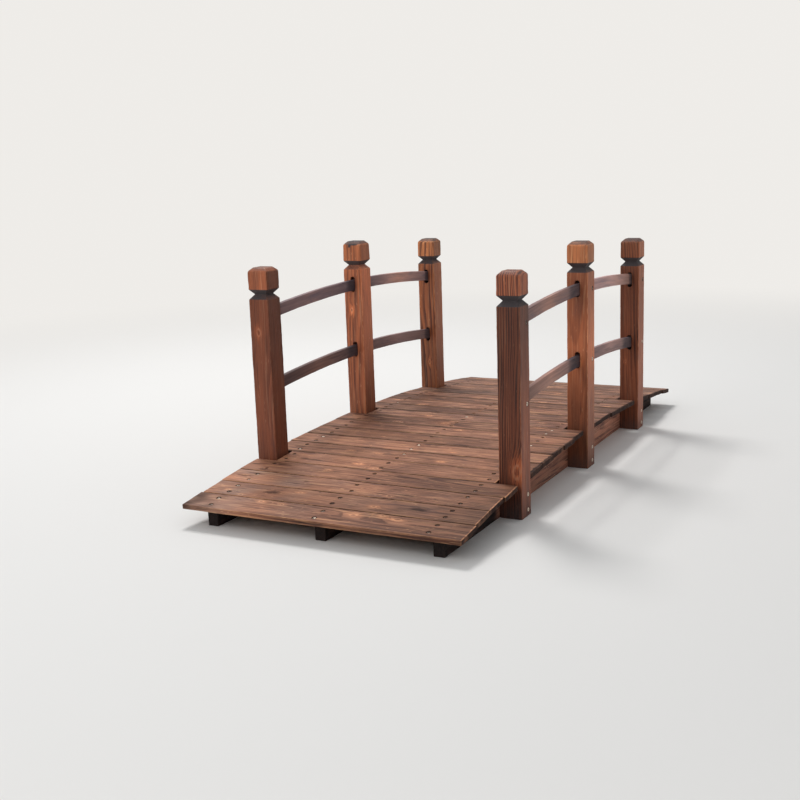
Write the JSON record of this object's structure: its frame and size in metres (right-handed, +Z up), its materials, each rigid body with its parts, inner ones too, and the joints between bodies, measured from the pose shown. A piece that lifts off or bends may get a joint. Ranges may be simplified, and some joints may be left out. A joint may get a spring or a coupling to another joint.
{
  "type": "garden footbridge",
  "caption": "Low arched wooden garden footbridge: cross boards on bearers, grooved square posts, and thin bent rails along both sides.",
  "frame": {"origin": "on the ground under the middle of the bridge", "axes": "+X along the bridge from its front end to its back end, +Y towards the left row of posts, +Z up"},
  "size_m": [1.516, 0.662, 0.549],
  "materials": {
    "deck_wood": "weathered reddish brown stain with open grain",
    "post_wood": "warm red-brown stain with upright grain",
    "rail_wood": "grey-brown weathered stain",
    "bearer_wood": "dark brown stain, rough sawn",
    "screw_steel": "zinc-plated steel"
  },
  "bodies": {
    "root": {"left_bearer": "bearer_wood", "middle_bearer": "bearer_wood", "right_bearer": "bearer_wood", "left_front_post": "post_wood", "left_middle_post": "post_wood", "left_back_post": "post_wood", "right_front_post": "post_wood", "right_middle_post": "post_wood", "right_back_post": "post_wood", "left_upper_rail": "rail_wood", "left_lower_rail": "rail_wood", "right_upper_rail": "rail_wood", "right_lower_rail": "rail_wood", "deck_board_01": "deck_wood", "deck_board_02": "deck_wood", "deck_board_03": "deck_wood", "deck_board_04": "deck_wood", "deck_board_05": "deck_wood", "deck_board_06": "deck_wood", "deck_board_07": "deck_wood", "deck_board_08": "deck_wood", "deck_board_09": "deck_wood", "deck_board_10": "deck_wood", "deck_board_11": "deck_wood", "deck_board_12": "deck_wood", "deck_board_13": "deck_wood", "deck_board_14": "deck_wood", "deck_board_15": "deck_wood", "deck_board_16": "deck_wood", "deck_board_17": "deck_wood", "deck_board_18": "deck_wood", "deck_board_19": "deck_wood", "deck_board_20": "deck_wood", "deck_board_21": "deck_wood"}
  },
  "joints": []
}
